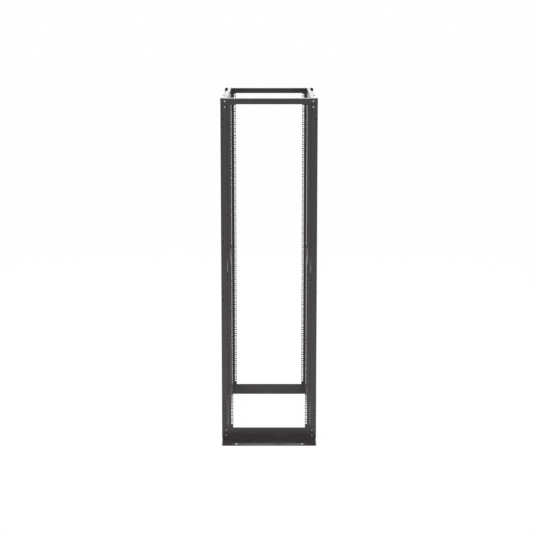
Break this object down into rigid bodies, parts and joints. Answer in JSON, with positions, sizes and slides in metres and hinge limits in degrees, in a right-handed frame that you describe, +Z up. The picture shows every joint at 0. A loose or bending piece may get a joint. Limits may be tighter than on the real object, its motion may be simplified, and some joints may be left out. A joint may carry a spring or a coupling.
{
  "type": "four-post open frame rack",
  "caption": "Tall open frame equipment rack of bent steel: posts joined by side rungs, square-hole mounting rails front and rear, top beams and floor angles.",
  "frame": {"origin": "centre of the footprint, on the floor", "axes": "+X to the right as seen from the front, +Y from the front to the rear, +Z up"},
  "size_m": [0.591, 1.3828, 2.1336],
  "materials": {
    "black_powder_coat": "semi-gloss black powder coat"
  },
  "bodies": {
    "root": {"front_left_post": "black_powder_coat", "front_left_rail": "black_powder_coat", "front_left_top_bracket": "black_powder_coat", "front_left_bottom_bracket": "black_powder_coat", "front_right_post": "black_powder_coat", "front_right_rail": "black_powder_coat", "front_right_top_bracket": "black_powder_coat", "front_right_bottom_bracket": "black_powder_coat", "front_top_beam": "black_powder_coat", "front_base_angle": "black_powder_coat", "rear_left_post": "black_powder_coat", "rear_left_rail": "black_powder_coat", "rear_left_top_bracket": "black_powder_coat", "rear_left_bottom_bracket": "black_powder_coat", "rear_right_post": "black_powder_coat", "rear_right_rail": "black_powder_coat", "rear_right_top_bracket": "black_powder_coat", "rear_right_bottom_bracket": "black_powder_coat", "rear_top_beam": "black_powder_coat", "rear_base_angle": "black_powder_coat", "left_top_rung": "black_powder_coat", "left_middle_rung": "black_powder_coat", "left_bottom_rung": "black_powder_coat", "right_top_rung": "black_powder_coat", "right_middle_rung": "black_powder_coat", "right_bottom_rung": "black_powder_coat"}
  },
  "joints": []
}
